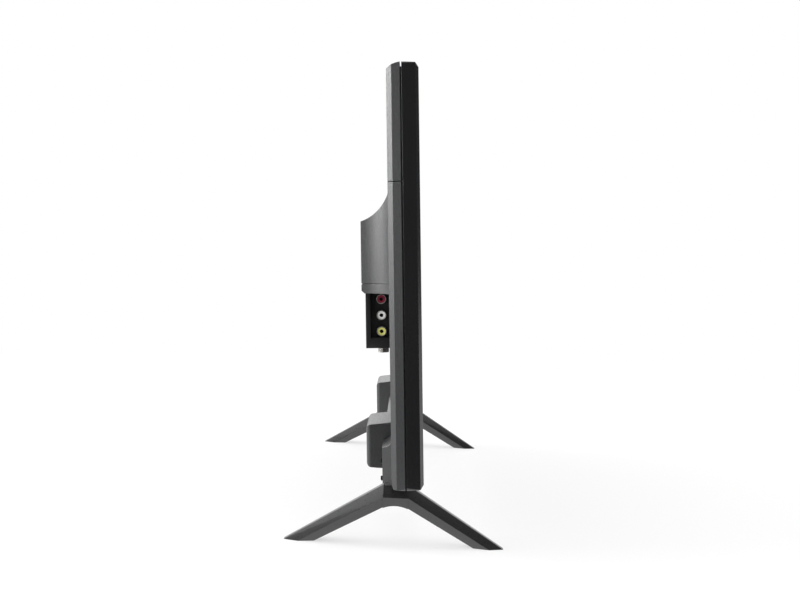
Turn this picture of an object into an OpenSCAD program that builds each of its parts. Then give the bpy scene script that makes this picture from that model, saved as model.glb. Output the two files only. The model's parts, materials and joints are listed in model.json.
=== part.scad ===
// Flat screen television on two splayed feet.
// The origin is on the floor midway between the feet. The screen faces -Y, +X is to its right and Z is up.
// Inside leaned() the panel stands upright: y counts back from its front face, z up from its bottom edge.

/* [Panel] */
// Width of the set
panel_w = 552; // [536:2:600]
// Height of the set without its feet
panel_h = 330; // [322:2:360]
// Backward lean of the panel on its feet, in degrees
lean = 3.5; // [2:0.5:5]
// Depth from the front face to the flat rear face
body_d = 25; // [24:0.5:30]
// Depth of the front bezel
bezel_d = 13.2; // [12:0.2:14]
// Border beside the picture
border_side = 14.5; // [13:0.5:20]
// Border above the picture
border_top = 14.5; // [13:0.5:20]
// Border below the picture
border_bottom = 20.5; // [18:0.5:26]
// Wall of the plastic mouldings
wall = 2.2; // [1.8:0.1:2.4]

/* [Rear bump] */
// Height of the seam between the two rear covers
seam_z = 239; // [232:1:250]
// Width of the bump at its base
bump_w = 380; // [360:4:400]
// Height of the bump at its base
bump_h = 89.6; // [84:0.4:96]
// Depth of the bump behind the rear face
bump_d = 25.5; // [24:0.5:30]
// Radius of the concave sweep round the bump
sweep_r = 37.8; // [36:0.2:42]

/* [Plateau and speakers] */
// Depth of the plateau along the bottom
plateau_d = 8; // [7.4:0.2:10]
// Height of the plateau's flat back
plateau_h = 27.2; // [26:0.2:32]
// Height of a speaker box's top above the panel's bottom edge
box_top = 41.2; // [40:0.2:46]
// Length of a speaker box
box_w = 72; // [64:1:80]
// Distance from the middle to a speaker box
box_x = 118; // [110:1:126]
// Depth of a speaker box behind the plateau
box_d = 14.2; // [14:0.2:18]

/* [Terminals] */
// Length of the terminal housing
housing_w = 92; // [84:1:100]
// Depth of the terminal housing behind the rear face
housing_d = 22.8; // [20:0.2:23]
// Height of the terminal housing
housing_h = 48.4; // [46:0.4:52]
// Distance between two phono jacks
jack_pitch = 14; // [13:0.5:14]
// Outer radius of a phono jack
jack_r = 4.15; // [4:0.05:4.3]

/* [Keys] */
// Distance between two keys
key_pitch = 17; // [16:0.5:18]
// Travel of a key
key_travel = 0.5; // [0.3:0.1:0.5]

/* [Feet] */
// Distance of a foot's middle from the side of the set
foot_inset = 32; // [30:1:44]
// Length of a foot along the floor
foot_span = 175; // [160:1:200]
// Height of the panel's bottom edge above the floor
panel_lift = 49.3; // [44:0.1:60]
// Distance of the panel's front face ahead of the feet's middle
panel_forward = 21.7; // [20:0.1:23]

/* [Hidden] */
$fn = 48;

// Bezel and covers
corner_r = 3;
lip = 2.4;
bezel_wall = 3.4;
bezel_taper = 0.7;
chamfer_d = 2.6;
chamfer_in = 4.4;
window_flare = 1.6;
reveal = 1.1;
cover_y = bezel_d + reveal;
tongue_gap = 0.2;
tongue_d = 4.3;
rim = bezel_wall + tongue_gap + wall;
bevel = 4;
side_taper = 2;
foot_bevel_d = 1.3;
foot_bevel_h = 4.6;
cover_in = body_d - wall;
seam_gap = 0.5;
seam_lip = 4;

// Bump
bump_top = seam_z - 1;
bump_z = bump_top - bump_h;
bump_back = body_d + bump_d;
sweep_start = 12;
sweep_y = body_d + sweep_r * cos(sweep_start);
sweep_rise = sweep_r * sin(sweep_start);
groove_z = bump_z + 7.6;
groove_w = 1;
groove_d = 0.8;
band_chamfer_y = 2.6;
band_chamfer_z = 2.4;
hollow_margin = 5;
vent_pitch = 10;
vent_count = 25;
vent_w = 3;
vent_h = 14;
vent_z = groove_z + 32;

// Plateau and speaker boxes
plateau_w = panel_w - 2 * foot_inset - 12;
plateau_draft = 5;
plateau_low = -1.6;
plateau_back = body_d + plateau_d;
ramp_r = plateau_d + 2;
ramp_y = plateau_back + 1.1;
ramp_z = plateau_h + sqrt(ramp_r * ramp_r - pow(ramp_y - plateau_back, 2));
ramp_top = ramp_z - sqrt(ramp_r * ramp_r - pow(ramp_y - body_d, 2));
box_back = plateau_back + box_d;
box_z = [1.9, box_top];
box_r = 4;
box_draft = 1.6;
speaker_z = (box_z[0] + box_z[1]) / 2;
speaker_x = box_x + box_w / 2;
frame_y = box_back - wall;
slot_count = 9;
slot_pitch = 4.6;
slot_w = 2;
slot_h = 22;

// Screen module
module_w = panel_w - 2 * border_side + 6;
picture_h = panel_h - border_top - border_bottom;
picture_w = panel_w - 2 * border_side;
module_z = [border_bottom - 3, panel_h - border_top + 3];
chassis_back = body_d - 7;
chassis_t = 1;
strip_t = 1;
strip_h = 12;
strip_w = module_w - 30;
strip_rows = 3;
lens_count = 7;
lens_r = 7;
lens_h = 3.4;
lens_pitch = strip_w / lens_count;
sheet_y = 5;

// Terminals and boards
board_y = body_d + 0.2;
board_t = 1.6;
board_face = board_y + board_t;
board_top = bump_top - 12;
main_board_x = [-150, -10];
power_board_x = [40, 160];
housing_x = [-146, -146 + housing_w];
housing_back = body_d + housing_d;
housing_z = [bump_z - housing_h, bump_z];
housing_wall = 2;
bay_w = 10;
bay_bar = 4.3;
jack_edge = 5.9;
bay_edge = 5.4;
bay_floor = housing_h - jack_edge - 2 * jack_pitch - bay_edge;
jack_y = body_d + 9.2;
jack_z = [for (i = [0:2]) bump_z - jack_edge - i * jack_pitch];
jack_x = housing_x[0] + bay_w;
jack_l = 8.5;
sleeve_t = 0.6;
jack_neck_r = jack_r - 0.25;
jack_hole_r = 1.6;
antenna_x = -112;
antenna_r = 4.7;
antenna_neck_r = 4.4;
antenna_bore_r = 3.2;
antenna_l = 6.5;
antenna_y = board_face + 6.7;
hdmi_x = -91;
hdmi_size = [15, 6, 11];
usb_x = -69;
usb_size = [14.4, 7, 13];
inlet_x = 110;
inlet_y = body_d + 12.4;

// Fasteners
screw_r = 1.5;
screw_head_r = 2.8;
boss_r = 5.4;
cover_screw_x = panel_w / 2 - 20;
upper_screw_z = panel_h - 32;
lower_screws = [for (x = [-cover_screw_x, cover_screw_x], z = [84, seam_z - 24]) [x, z]];
upper_screws = [for (x = [-cover_screw_x, -130, 130, cover_screw_x]) [x, upper_screw_z]];
vesa = 75;
vesa_z = housing_z[0] - 8;
insert_r = 3.2;
m4_r = 2;

// Keys
key_count = 7;
key_x = panel_w / 2 - 38;
key_z = [for (i = [0:key_count - 1]) 84 + i * key_pitch];
key_size = [9, 13];
key_gap = 0.4;
key_proud = 0.8;
flange_w = 1.5;
flange_t = 0.5;
switch_top = cover_in - key_gap - flange_t - key_travel - key_gap;

// Remote control window
ir_x = panel_w / 2 - 76;
ir_z = border_bottom / 2;

// Feet
foot_x = panel_w / 2 - foot_inset;
hub_half = 10;
hub_top = panel_lift - 1.3;
hub_low = hub_top - 18.1;
heel_y = foot_span / 2 - 24;
leg_start = hub_half - 0.5;
leg_end = foot_span / 2 + 4;
slice = 0.01;
hub_proud = 0.7;
hub_sole = hub_low - hub_proud;
arch_rise = 2.3;
arch_r = (hub_half * hub_half + arch_rise * arch_rise) / (2 * arch_rise);
hub_half_x = [4, 10, 5.5];
toe_half_x = [3.2, 7, 3.6];
tongue_w = 13;
tongue_x = plateau_w / 2 - plateau_draft - wall - 1 - tongue_w / 2;
tongue_t = 4;
tongue_y = [plateau_back - wall - tongue_t, plateau_back - wall];
tongue_top = plateau_h - 6;
foot_screw_z = [0.9, 15];
foot_head_r = 2;
foot_head_h = 1.1;
flap_z = [-7, 4];
flap_w = 24;
post_y = [body_d + 0.2, plateau_back - wall - 0.3];
post_low = -8;
post_top = 0.6;
post_gap = 0.5;

grey = [0.30, 0.30, 0.31];
black = [0.06, 0.06, 0.07];
steel = [0.72, 0.73, 0.75];
green = [0.10, 0.32, 0.18];

// Places the upright panel on its feet, leaning back
module leaned() {
    translate([0, -panel_forward, panel_lift])
        rotate([-lean, 0, 0])
            children();
}

// A block between two values on each axis
module block(x, y, z) {
    translate([x[0], y[0], z[0]])
        cube([x[1] - x[0], y[1] - y[0], z[1] - z[0]]);
}

// Extrudes a (y, z) outline along x
module along_x(x) {
    translate([x[0], 0, 0])
        rotate([90, 0, 90])
            linear_extrude(x[1] - x[0])
                children();
}

// Extrudes an (x, z) outline along y
module along_y(y) {
    translate([0, y[1], 0])
        rotate([90, 0, 0])
            linear_extrude(y[1] - y[0])
                children();
}

// Extrudes an (x, y) outline along z
module along_z(z) {
    translate([0, 0, z[0]])
        linear_extrude(z[1] - z[0])
            children();
}

module rod_x(x, y, z, r) {
    translate([x[0], y, z])
        rotate([0, 90, 0])
            cylinder(h = x[1] - x[0], r = r);
}

module rod_y(x, y, z, r) {
    translate([x, y[0], z])
        rotate([-90, 0, 0])
            cylinder(h = y[1] - y[0], r = r);
}

module rod_z(x, y, z, r) {
    translate([x, y, z[0]])
        cylinder(h = z[1] - z[0], r = r);
}

// A rectangle with round corners
module round_rect(x, z, r) {
    translate([x[0] + r, z[0]])
        square([x[1] - x[0] - 2 * r, z[1] - z[0]]);
    translate([x[0], z[0] + r])
        square([x[1] - x[0], z[1] - z[0] - 2 * r]);
    for (cx = [x[0] + r, x[1] - r], cz = [z[0] + r, z[1] - r])
        translate([cx, cz])
            circle(r);
}

// Outward normal of the edge from a to b of a counter-clockwise outline
function outward(a, b) = [b[1] - a[1], a[0] - b[0]] / norm(b - a);

// A convex outline with its corners rounded about the given centres
module rounded_outline(centres, r) {
    n = len(centres);
    polygon([
        for (i = [0:n - 1])
            each [
                centres[i] + r * outward(centres[(i + n - 1) % n], centres[i]),
                centres[i] + r * outward(centres[i], centres[(i + 1) % n])
            ]
    ]);
    for (c = centres)
        translate(c)
            circle(r);
}

// An outline with its mirror image about x = 0
function both_sides(points) =
    concat(points, [for (i = [len(points) - 1:-1:0]) [-points[i][0], points[i][1]]]);

// Outer body of the bezel: a rounded slab, chamfered at the front and tapering a little
module bezel_body() {
    half = panel_w / 2;
    intersection() {
        along_y([0, bezel_d])
            round_rect([-half, half], [0, panel_h], corner_r);
        along_x([-half, half])
            polygon([
                [0, chamfer_in], [chamfer_d, bezel_taper], [bezel_d, 0],
                [bezel_d, panel_h], [chamfer_d, panel_h - bezel_taper], [0, panel_h - chamfer_in]
            ]);
        along_z([0, panel_h])
            polygon(both_sides([[-half, bezel_d], [bezel_taper - half, chamfer_d], [chamfer_in - half, 0]]));
    }
}

// Picture window with flared edges
module picture_window() {
    half = picture_w / 2;
    low = border_bottom;
    high = panel_h - border_top;
    intersection() {
        along_x([-half - window_flare, half + window_flare])
            polygon([[-1, low - window_flare], [lip, low], [lip + 1, low],
                     [lip + 1, high], [lip, high], [-1, high + window_flare]]);
        along_z([low - window_flare, high + window_flare])
            polygon(both_sides([[-half, lip + 1], [-half, lip], [-half - window_flare, -1]]));
    }
}

module front_bezel() {
    half = panel_w / 2 - bezel_wall;
    color(black)
        leaned()
            difference() {
                bezel_body();
                picture_window();
                block([-half, half], [lip, bezel_d + 1], [bezel_wall, panel_h - bezel_wall]);
                block([ir_x - 8, ir_x + 8], [-1, lip + 1], [ir_z - 2.5, ir_z + 2.5]);
            }
}

// Screen module, from front to back

module lcd_cell() {
    half = module_w / 2 - 1;
    color([0.03, 0.03, 0.04])
        leaned()
            block([-half, half], [lip, lip + 1.4], [module_z[0] + 1, module_z[1] - 1]);
}

module mid_frame() {
    half = module_w / 2;
    front = lip + 1.4;
    color(black)
        leaned()
            difference() {
                block([-half, half], [front, 8], module_z);
                block([9 - half, half - 9], [front - 1, 9], [module_z[0] + 9, module_z[1] - 9]);
                block([5 - half, half - 5], [sheet_y, 9], [module_z[0] + 5, module_z[1] - 5]);
            }
}

// A sheet that lies inside the middle frame
module inner_sheet(y) {
    half = module_w / 2 - 5.4;
    block([-half, half], y, [module_z[0] + 5.4, module_z[1] - 5.4]);
}

module optical_sheets() {
    color([0.90, 0.92, 0.94])
        leaned()
            inner_sheet([sheet_y, sheet_y + 0.6]);
}

module diffuser_plate() {
    color([0.96, 0.96, 0.96])
        leaned()
            inner_sheet([sheet_y + 0.6, sheet_y + 2.6]);
}

function strip_z(row) =
    (module_z[0] + module_z[1]) / 2 + (row - (strip_rows - 1) / 2) * picture_h / strip_rows;

// Repeats its children at each lamp of the backlight
module at_lamps() {
    for (row = [0:strip_rows - 1], i = [0:lens_count - 1])
        translate([(i - (lens_count - 1) / 2) * lens_pitch, 0, strip_z(row)])
            children();
}

module reflector_sheet() {
    half = module_w / 2 - 1.5;
    back = chassis_back - chassis_t - strip_t;
    color([0.97, 0.97, 0.97])
        leaned()
            difference() {
                block([-half, half], [back - 0.4, back], [module_z[0] + 1.5, module_z[1] - 1.5]);
                at_lamps()
                    rod_y(0, [back - 1, back + 1], 0, lens_r + 0.3);
            }
}

module led_strips() {
    y = chassis_back - chassis_t;
    color([0.85, 0.86, 0.84])
        leaned()
            for (row = [0:strip_rows - 1])
                block([-strip_w / 2, strip_w / 2], [y - strip_t, y],
                      [strip_z(row) - strip_h / 2, strip_z(row) + strip_h / 2]);
}

// Lens over one lamp: a low dome with a dimple that spreads the light
module lens() {
    rotate([90, 0, 0])
        rotate_extrude()
            polygon([
                [0, 0], [lens_r, 0], [lens_r, lens_h * 0.3], [lens_r * 0.7, lens_h * 0.85],
                [lens_r * 0.35, lens_h], [0, lens_h * 0.6]
            ]);
}

module led_lenses() {
    color([0.92, 0.95, 0.98])
        leaned()
            at_lamps()
                translate([0, chassis_back - chassis_t - strip_t, 0])
                    lens();
}

module chassis_plate() {
    half = module_w / 2;
    floor_y = chassis_back - chassis_t;
    color(steel)
        leaned()
            difference() {
                block([-half, half], [8, chassis_back], module_z);
                block([chassis_t - half, half - chassis_t], [7, floor_y],
                      [module_z[0] + chassis_t, module_z[1] - chassis_t]);
                at_cover_screws()
                    rod_y(0, [floor_y - 1, chassis_back + 1], 0, screw_r);
            }
}

// Boards behind the screen

module timing_board() {
    color(green)
        leaned()
            block([-90, 90], [chassis_back, chassis_back + 1.2], [vesa_z - 17, vesa_z + 17]);
}

module main_board() {
    color(green)
        leaned()
            along_y([board_y, board_face]) {
                translate([main_board_x[0], bump_z + wall + 1])
                    square([main_board_x[1] - main_board_x[0], board_top - bump_z - wall - 1]);
                translate([jack_x + housing_wall + 0.2, housing_z[0] + housing_wall + 0.2])
                    square([housing_w - bay_w - 2 * housing_wall - 0.4, housing_h + 4]);
            }
}

module power_board() {
    color([0.55, 0.42, 0.22])
        leaned()
            block(power_board_x, [board_y, board_face], [bump_z + 22, board_top]);
}

module board_standoffs() {
    color(steel)
        leaned() {
            for (x = [main_board_x[0] + 6, main_board_x[1] - 6, power_board_x[0] + 6, power_board_x[1] - 6],
                 z = [bump_z + 30, board_top - 6])
                rod_y(x, [chassis_back, board_y], z, 3);
            for (x = [jack_x + 20, housing_x[1] - 12])
                rod_y(x, [chassis_back, board_y], housing_z[0] + 20, 3);
        }
}

module heat_sink() {
    x = [-100, -62];
    z = [bump_z + 14, bump_z + 52];
    fins = 7;
    pitch = (x[1] - x[0] - 1.6) / (fins - 1);
    color([0.20, 0.20, 0.21])
        leaned() {
            block(x, [board_face, board_face + 3], z);
            for (i = [0:fins - 1])
                block([x[0] + i * pitch, x[0] + i * pitch + 1.6], [board_face + 3, board_face + 10], z);
        }
}

module tuner_can() {
    z = housing_z[0] + housing_wall + 0.2;
    color(steel)
        leaned()
            block([antenna_x - 9, antenna_x + 9], [board_face, board_face + 13.5], [z, z + 34]);
}

module transformer() {
    x = power_board_x[0] + 50;
    z = bump_z + 38;
    color([0.80, 0.68, 0.20])
        leaned() {
            block([x - 12, x + 12], [board_face, board_face + 4], [z - 10, z + 10]);
            block([x - 8, x + 8], [board_face + 4, board_face + 14], [z - 8, z + 8]);
            block([x - 12, x + 12], [board_face + 14, board_face + 17], [z - 10, z + 10]);
        }
}

module capacitors() {
    z = bump_z + 38;
    color([0.12, 0.14, 0.25])
        leaned() {
            rod_y(power_board_x[1] - 18, [board_face, board_face + 18], z, 8);
            for (i = [0:2])
                rod_y(power_board_x[0] + 10 + i * 10, [board_face, board_face + 12], z + 12, 4);
        }
}

module key_board() {
    color(green)
        leaned()
            block([key_x - 7, key_x + 7], [chassis_back, chassis_back + 1],
                  [key_z[0] - 12, key_z[key_count - 1] + 12]);
}

module key_switches() {
    color(black)
        leaned()
            for (z = key_z) {
                block([key_x - 2.6, key_x + 2.6], [chassis_back + 1, switch_top - 0.4], [z - 2.6, z + 2.6]);
                rod_y(key_x, [switch_top - 0.4, switch_top], z, 1.4);
            }
}

module ir_window() {
    color([0.10, 0.02, 0.03])
        leaned()
            block([ir_x - 8, ir_x + 8], [0.4, lip + 0.6], [ir_z - 2.5, ir_z + 2.5]);
}

module ir_board() {
    color(green)
        leaned()
            block([ir_x - 13, ir_x + 13], [lip + 0.6, lip + 1.8], [ir_z - 5, ir_z + 5]);
}

// Terminals

module terminal_housing() {
    x = housing_x;
    inner_x = jack_x + housing_wall;
    color(black)
        leaned()
            difference() {
                block(x, [body_d, housing_back], housing_z);
                block([inner_x, x[1] - housing_wall], [body_d - 1, housing_back - housing_wall],
                      [housing_z[0] + housing_wall, housing_z[1] + 1]);
                block([x[0] + housing_wall, inner_x], [body_d - 1, housing_back - housing_wall],
                      [housing_z[0] + housing_wall, housing_z[0] + bay_floor - housing_wall]);
                block([x[0] - 1, jack_x], [body_d - 1, housing_back - bay_bar],
                      [housing_z[0] + bay_floor, housing_z[1] + 1]);
                for (z = jack_z)
                    rod_x([jack_x - 1, inner_x + 1], jack_y, z, jack_neck_r);
                rod_z(antenna_x, antenna_y, [housing_z[0] - 1, housing_z[0] + 3], antenna_neck_r);
                port_form(hdmi_x, hdmi_size, 1);
                port_form(usb_x, usb_size, 1);
            }
}

module jack_block() {
    x = jack_x + housing_wall;
    color([0.08, 0.08, 0.09])
        leaned()
            difference() {
                block([x, x + 12], [board_face, jack_y + 6.8], [jack_z[2] - 7, jack_z[0] + 7]);
                for (z = jack_z)
                    rod_x([x - 1, x + 3], jack_y, z, jack_neck_r);
            }
}

// Nickel sleeves round the three jacks
module jack_sleeves() {
    color(steel)
        leaned()
            for (z = jack_z)
                difference() {
                    union() {
                        rod_x([jack_x - jack_l, jack_x], jack_y, z, jack_r);
                        rod_x([jack_x, jack_x + housing_wall + 3], jack_y, z, jack_neck_r);
                    }
                    rod_x([jack_x - jack_l - 1, jack_x + housing_wall + 4], jack_y, z, jack_r - sleeve_t);
                }
}

// Coloured insert of one jack, with its contact hole
module jack_insert(z) {
    difference() {
        rod_x([jack_x - jack_l + 0.5, jack_x + housing_wall + 3], jack_y, z, jack_r - sleeve_t);
        rod_x([jack_x - jack_l - 1, jack_x], jack_y, z, jack_hole_r);
    }
}

module red_jack() {
    color([0.45, 0.04, 0.08])
        leaned()
            jack_insert(jack_z[0]);
}

module white_jack() {
    color([0.92, 0.92, 0.90])
        leaned()
            jack_insert(jack_z[1]);
}

module yellow_jack() {
    color([0.90, 0.85, 0.35])
        leaned()
            jack_insert(jack_z[2]);
}

module antenna_socket() {
    z = housing_z[0];
    color(steel)
        leaned()
            difference() {
                union() {
                    rod_z(antenna_x, antenna_y, [z - antenna_l, z], antenna_r);
                    rod_z(antenna_x, antenna_y, [z, z + housing_wall + 0.2], antenna_neck_r);
                }
                rod_z(antenna_x, antenna_y, [z - antenna_l - 1, z], antenna_bore_r);
            }
}

// Outer form of a port that looks down through the housing's floor
module port_form(x, size, extra) {
    block([x - size[0] / 2, x + size[0] / 2], [board_face, board_face + size[1]],
          [housing_z[0] - 0.5 - extra, housing_z[0] + size[2]]);
}

module port_shell(x, size) {
    shell = 0.6;
    difference() {
        port_form(x, size, 0);
        block([x - size[0] / 2 + shell, x + size[0] / 2 - shell],
              [board_face + shell, board_face + size[1] - shell],
              [housing_z[0] - 1, housing_z[0] + size[2] - 2]);
    }
}

module hdmi_port() {
    color(steel)
        leaned() {
            port_shell(hdmi_x, hdmi_size);
            block([hdmi_x - 5.5, hdmi_x + 5.5], [board_face + 2.6, board_face + 3.4],
                  [housing_z[0] + 2, housing_z[0] + hdmi_size[2] - 2]);
        }
}

module usb_port() {
    color(steel)
        leaned() {
            port_shell(usb_x, usb_size);
            block([usb_x - 5.6, usb_x + 5.6], [board_face + 1.2, board_face + 3],
                  [housing_z[0] + 2, housing_z[0] + usb_size[2] - 2]);
        }
}

// Outline of the two-pole inlet's mouth
module inlet_mouth() {
    for (x = [-4, 4])
        translate([inlet_x + x, inlet_y])
            circle(4.2);
    translate([inlet_x - 4, inlet_y - 4.2])
        square([8, 8.4]);
}

module power_inlet() {
    color(black)
        leaned()
            difference() {
                union() {
                    block([inlet_x - 14, inlet_x + 14], [inlet_y - 8, inlet_y + 8], [bump_z - 1, bump_z]);
                    block([inlet_x - 11, inlet_x + 11], [inlet_y - 7, inlet_y + 7], [bump_z, bump_z + 17]);
                }
                along_z([bump_z - 2, bump_z + 12])
                    inlet_mouth();
            }
}

module inlet_pins() {
    color(steel)
        leaned()
            for (x = [-4.3, 4.3])
                rod_z(inlet_x + x, inlet_y, [bump_z + 4.5, bump_z + 12], 1.2);
}

// Rear covers

// Outer body of both covers: a rounded slab with bevelled rear edges
module cover_body() {
    half = panel_w / 2;
    intersection() {
        along_y([cover_y, body_d])
            round_rect([-half, half], [0, panel_h], corner_r);
        along_x([-half, half])
            polygon([
                [cover_y, 0], [body_d - foot_bevel_d, bezel_taper], [body_d, foot_bevel_h],
                [body_d, panel_h - side_taper - bevel + 1], [body_d - bevel, panel_h - side_taper],
                [cover_y, panel_h]
            ]);
        along_z([0, panel_h])
            polygon(both_sides([
                [-half, cover_y], [side_taper - half, body_d - bevel], [side_taper + bevel - half, body_d]
            ]));
    }
}

// Hollow shell of both covers, with the tongue that slips into the bezel
module cover_shell() {
    outer = panel_w / 2 - bezel_wall - tongue_gap;
    inner = panel_w / 2 - rim;
    difference() {
        union() {
            cover_body();
            block([-outer, outer], [cover_y - tongue_d, cover_y],
                  [bezel_wall + tongue_gap, panel_h - bezel_wall - tongue_gap]);
        }
        block([-inner, inner], [cover_y - tongue_d - 1, cover_in], [rim, panel_h - rim]);
    }
}

module at_points(points) {
    for (p = points)
        translate([p[0], 0, p[1]])
            children();
}

module at_cover_screws() {
    at_points(concat(lower_screws, upper_screws))
        children();
}

module screw_boss() {
    rod_y(0, [chassis_back, body_d], 0, boss_r);
}

// Hole and head recess of a cover screw
module screw_hole() {
    rod_y(0, [chassis_back - 1, body_d], 0, screw_r);
    rod_y(0, [cover_in - 0.8, body_d + 1], 0, screw_head_r + 0.7);
}

module upper_rear_cover() {
    color(grey)
        leaned()
            difference() {
                union() {
                    intersection() {
                        cover_shell();
                        block([-panel_w, panel_w], [0, body_d], [seam_z + seam_gap / 2, panel_h]);
                    }
                    at_points(upper_screws)
                        screw_boss();
                }
                at_points(upper_screws)
                    screw_hole();
            }
}

// The bump: a block whose top and ends sweep down to the rear face
module bump_form(inset) {
    front = cover_in - (inset > 0 ? 1 : 0);
    back = bump_back - inset;
    margin = inset >= wall ? hollow_margin : 0;
    half = bump_w / 2 - margin;
    top = bump_top - margin;
    intersection() {
        along_x([-half, half])
            difference() {
                polygon([
                    [front, bump_z + inset], [back - band_chamfer_y, bump_z + inset],
                    [back, bump_z + inset + band_chamfer_z], [back, top], [front, top]
                ]);
                translate([sweep_y, bump_top + sweep_rise])
                    circle(sweep_r + inset);
            }
        along_z([bump_z, top])
            difference() {
                translate([-half, front])
                    square([2 * half, back - front]);
                for (side = [-1, 1])
                    translate([side * (bump_w / 2 + sweep_rise), sweep_y])
                        circle(sweep_r + inset);
            }
    }
}

// Shallow groove round the bump above its lower band
module band_groove() {
    difference() {
        block([-bump_w / 2, bump_w / 2], [body_d + groove_d, bump_back + 1],
              [groove_z, groove_z + groove_w]);
        bump_form(groove_d);
    }
}

// The plateau along the bottom, with a concave ramp on top and slanted ends
module plateau_form(inset) {
    half = plateau_w / 2 - inset * 1.2;
    front = cover_in - (inset > 0 ? 1 : 0);
    back = plateau_back - inset;
    intersection() {
        along_x([-half, half])
            difference() {
                polygon([
                    [front, 0.9 + inset], [body_d - 1, plateau_low + inset],
                    [plateau_back, plateau_low + 0.6 + inset],
                    [plateau_back, ramp_top], [front, ramp_top]
                ]);
                translate([ramp_y, ramp_z])
                    circle(ramp_r + inset);
            }
        along_z([plateau_low, ramp_top])
            polygon(both_sides([[-half, front], [-half, body_d], [plateau_draft - half, back]]));
    }
}

// Flaps that reach down from the plateau's back, behind the feet's posts
module foot_flaps() {
    outer = plateau_w / 2 - plateau_draft;
    for (side = [-1, 1])
        block([side * outer - (side + 1) / 2 * flap_w, side * outer + (1 - side) / 2 * flap_w],
              [plateau_back - wall, plateau_back], flap_z);
}

// Rear wall between the chassis and the outside, cut where boards, ports and speakers need room
module lower_cut_outs() {
    bump_form(wall);
    plateau_form(wall);
    block([jack_x + housing_wall, housing_x[1] - housing_wall], [cover_in - 1, housing_back - housing_wall],
          [housing_z[0] + housing_wall, housing_z[1] + wall + 0.1]);
    block([inlet_x - 11, inlet_x + 11], [inlet_y - 7, inlet_y + 7], [bump_z - 1, bump_z + wall + 1]);
    for (side = [-1, 1])
        block([side * speaker_x - box_w / 2 + 5, side * speaker_x + box_w / 2 - 5],
              [plateau_back - wall - 1, plateau_back + 1], [8, plateau_h - 4]);
    for (i = [0:vent_count - 1])
        translate([(i - (vent_count - 1) / 2) * vent_pitch, 0, vent_z])
            block([-vent_w / 2, vent_w / 2], [bump_back - wall - 1, bump_back + 1], [0, vent_h]);
    for (z = key_z)
        key_outline(z, [cover_in - 1, body_d + 1], key_gap);
}

module lower_rear_cover() {
    inner = panel_w / 2 - rim - 0.2;
    color(grey)
        leaned()
            difference() {
                union() {
                    difference() {
                        union() {
                            intersection() {
                                cover_shell();
                                block([-panel_w, panel_w], [0, body_d], [0, seam_z - seam_gap / 2]);
                            }
                            bump_form(0);
                            plateau_form(0);
                            foot_flaps();
                            block([-inner, inner], [cover_in - 1.5, cover_in],
                                  [seam_z - seam_lip, seam_z - seam_gap / 2]);
                        }
                        lower_cut_outs();
                        band_groove();
                    }
                    at_points(lower_screws)
                        screw_boss();
                    at_vesa()
                        screw_boss();
                }
                at_points(lower_screws)
                    screw_hole();
                at_vesa()
                    rod_y(0, [chassis_back - 1, body_d + 1], 0, insert_r);
                for (side = [-1, 1]) {
                    block([side * tongue_x - tongue_w / 2 - 0.3, side * tongue_x + tongue_w / 2 + 0.3],
                          [tongue_y[0] - 0.3, tongue_y[1]], [plateau_low - 1, 8]);
                    for (z = foot_screw_z)
                        rod_y(side * tongue_x, [plateau_back - wall - 1, plateau_back + 1], z, screw_r);
                }
            }
}

module cover_screws() {
    seat = cover_in - 0.8;
    color([0.15, 0.15, 0.16])
        leaned()
            at_cover_screws() {
                rod_y(0, [chassis_back - chassis_t - 0.6, seat], 0, screw_r);
                rod_y(0, [seat, seat + 1.8], 0, screw_head_r);
            }
}

module at_vesa() {
    at_points([for (x = [-vesa / 2, vesa / 2], z = [-vesa / 2, vesa / 2]) [x, vesa_z + z]])
        children();
}

module vesa_inserts() {
    color([0.78, 0.62, 0.28])
        leaned()
            at_vesa()
                difference() {
                    rod_y(0, [chassis_back, body_d], 0, insert_r);
                    rod_y(0, [chassis_back + 0.6, body_d + 1], 0, m4_r);
                }
}

// Speakers

// Drafted box with round edges that stands on the plateau, on the right side
module box_form(inset) {
    r = box_r;
    d = box_draft;
    x = [box_x, box_x + box_w];
    intersection() {
        along_x([x[0], x[1]])
            rounded_outline([
                [body_d, box_z[0] + r], [box_back - r, box_z[0] + d + r],
                [box_back - r, box_z[1] - d - r], [body_d, box_z[1] - r]
            ], r - inset);
        along_z(box_z)
            rounded_outline([
                [x[0] + r, body_d], [x[1] - r, body_d],
                [x[1] - d - r, box_back - r], [x[0] + d + r, box_back - r]
            ], r - inset);
        along_y([0, box_back])
            round_rect([x[0] + inset, x[1] - inset], [box_z[0] + inset, box_z[1] - inset], r - inset);
    }
}

module speaker_box() {
    difference() {
        box_form(0);
        box_form(wall);
        plateau_form(0);
        block([0, panel_w], [0, body_d], [-1, panel_h]);
        for (i = [0:slot_count - 1])
            translate([speaker_x + (i - (slot_count - 1) / 2) * slot_pitch, 0, speaker_z])
                block([-slot_w / 2, slot_w / 2], [box_back - wall - 1, box_back + 1],
                      [-slot_h / 2, slot_h / 2]);
    }
}

module right_speaker_box() {
    color(grey)
        leaned()
            speaker_box();
}

module left_speaker_box() {
    color(grey)
        leaned()
            mirror([1, 0, 0])
                speaker_box();
}

// Repeats its children at both speakers
module at_speakers() {
    for (side = [-1, 1])
        translate([side * speaker_x, 0, speaker_z])
            children();
}

module speaker_frames() {
    y = frame_y;
    color(steel)
        leaned()
            at_speakers()
                difference() {
                    union() {
                        block([-14.6, 14.6], [y - 1.2, y], [-14.6, 14.6]);
                        rod_y(0, [y - 6, y - 1.2], 0, 14);
                    }
                    rod_y(0, [y - 5, y + 1], 0, 12.8);
                }
}

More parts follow.
